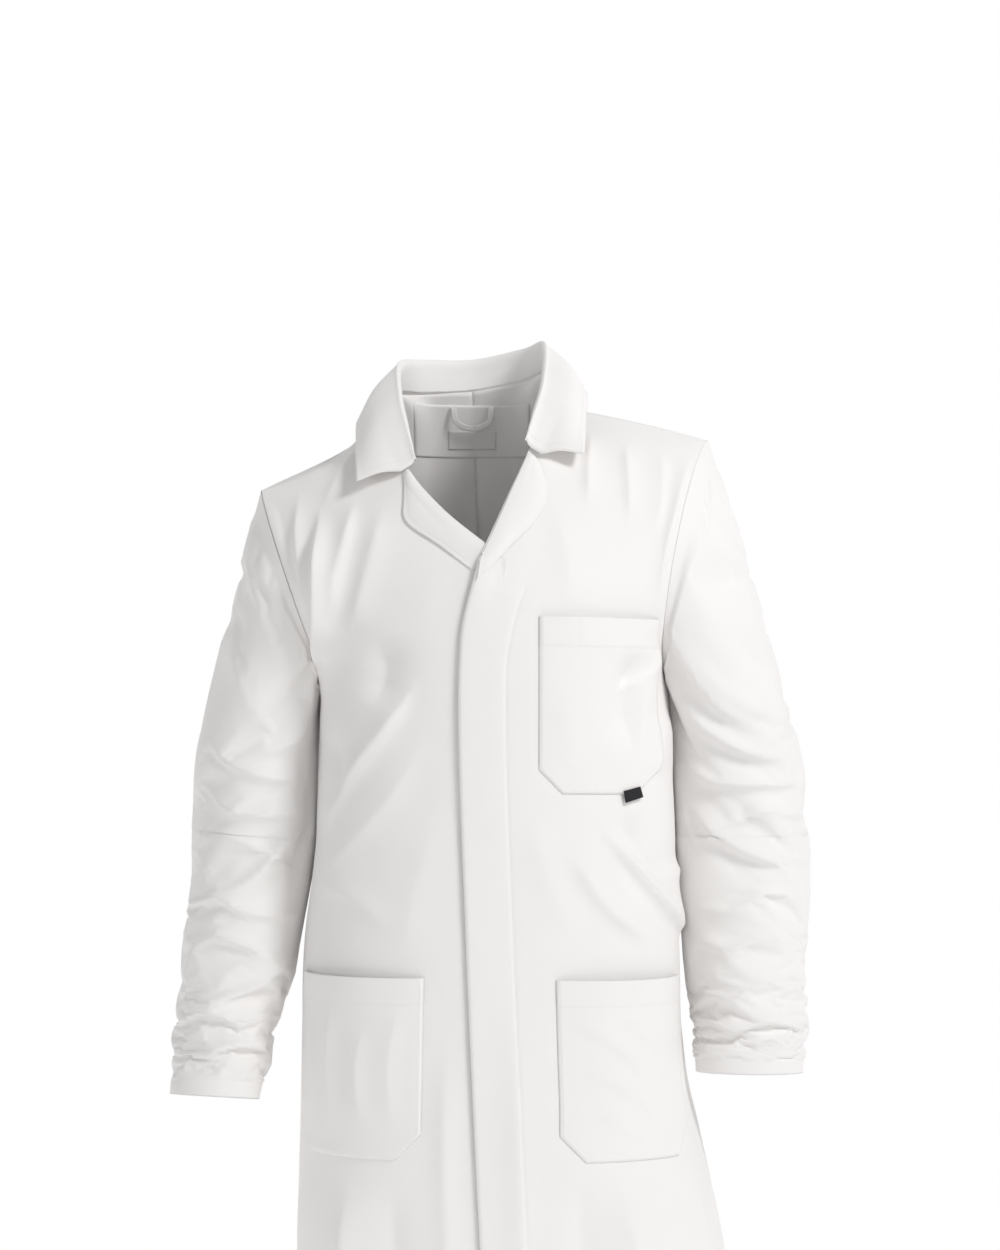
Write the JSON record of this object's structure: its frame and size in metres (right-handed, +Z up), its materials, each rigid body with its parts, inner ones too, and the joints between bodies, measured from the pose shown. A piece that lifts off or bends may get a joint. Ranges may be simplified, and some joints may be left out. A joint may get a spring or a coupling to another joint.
{
  "type": "lab coat",
  "caption": "Long-sleeved white lab coat with a notched collar, patch pockets and a concealed press-stud front, shaped as worn, with folding front edge and bending sleeves.",
  "frame": {"origin": "centre-back neck seam, where the hanger loop is sewn in", "axes": "+X to the wearer's left, -Y to the wearer's front, +Z up along the coat's length"},
  "size_m": [0.6668, 0.304, 1.1104],
  "materials": {
    "twill": "matte",
    "tape": "matte",
    "black_weave": "matte",
    "enamel": "satin",
    "nickel": "satin"
  },
  "bodies": {
    "body": {"back_left": "twill", "back_right": "twill", "front_left": "twill", "front_right": "twill", "right_facing": "twill", "breast_pocket": "twill", "pocket_tab": "black_weave", "lower_pocket_left": "twill", "lower_pocket_right": "twill", "top_collar": "twill", "under_collar": "twill", "lapel_left": "twill", "lapel_right": "twill", "back_neck_facing": "twill", "hanger_loop": "tape", "neck_label": "tape", "stud_ball_1": "nickel", "stud_ball_2": "nickel", "stud_ball_3": "nickel", "stud_ball_4": "nickel", "stud_ball_5": "nickel", "stud_ball_6": "nickel", "stud_post_1": "nickel", "stud_post_2": "nickel", "stud_post_3": "nickel", "stud_post_4": "nickel", "stud_post_5": "nickel", "stud_post_6": "nickel"},
    "opening_edge": {"front_left_opening_edge": "twill", "left_fly": "twill", "stud_cap_1": "enamel", "stud_cap_2": "enamel", "stud_cap_3": "enamel", "stud_cap_4": "enamel", "stud_cap_5": "enamel", "stud_cap_6": "enamel", "stud_socket_1": "nickel", "stud_socket_2": "nickel", "stud_socket_3": "nickel", "stud_socket_4": "nickel", "stud_socket_5": "nickel", "stud_socket_6": "nickel"},
    "left_upper_sleeve": {"sleeve_left_head": "twill", "sleeve_left_upper": "twill"},
    "left_forearm_sleeve": {"sleeve_left_elbow": "twill", "sleeve_left_forearm": "twill", "sleeve_left_hem": "twill"},
    "right_upper_sleeve": {"sleeve_right_head": "twill", "sleeve_right_upper": "twill"},
    "right_forearm_sleeve": {"sleeve_right_elbow": "twill", "sleeve_right_forearm": "twill", "sleeve_right_hem": "twill"}
  },
  "joints": [
    {"name": "left_shoulder_lift", "type": "hinge", "parent": "body", "child": "left_upper_sleeve", "pos_m": [0.249, -0.065, -0.056], "axis": [0, -1, 0], "range_deg": [0, 70], "deforming": ["sleeve_left_head"]},
    {"name": "left_elbow_bend", "type": "hinge", "parent": "left_upper_sleeve", "child": "left_forearm_sleeve", "pos_m": [0.29, -0.051, -0.44], "axis": [-1, 0, 0], "range_deg": [0, 75], "deforming": ["sleeve_left_elbow"]},
    {"name": "right_shoulder_lift", "type": "hinge", "parent": "body", "child": "right_upper_sleeve", "pos_m": [-0.221, -0.055, -0.108], "axis": [0, 1, 0], "range_deg": [0, 70], "deforming": ["sleeve_right_head"]},
    {"name": "right_elbow_bend", "type": "hinge", "parent": "right_upper_sleeve", "child": "right_forearm_sleeve", "pos_m": [-0.231, -0.045, -0.44], "axis": [-1, 0, 0], "range_deg": [0, 75], "deforming": ["sleeve_right_elbow"]},
    {"name": "left_front_fold_back", "type": "hinge", "parent": "body", "child": "opening_edge", "pos_m": [0.057, -0.2265, -0.195], "axis": [-0.0312, 0.0156, 0.9994], "range_deg": [0, 110]}
  ]
}
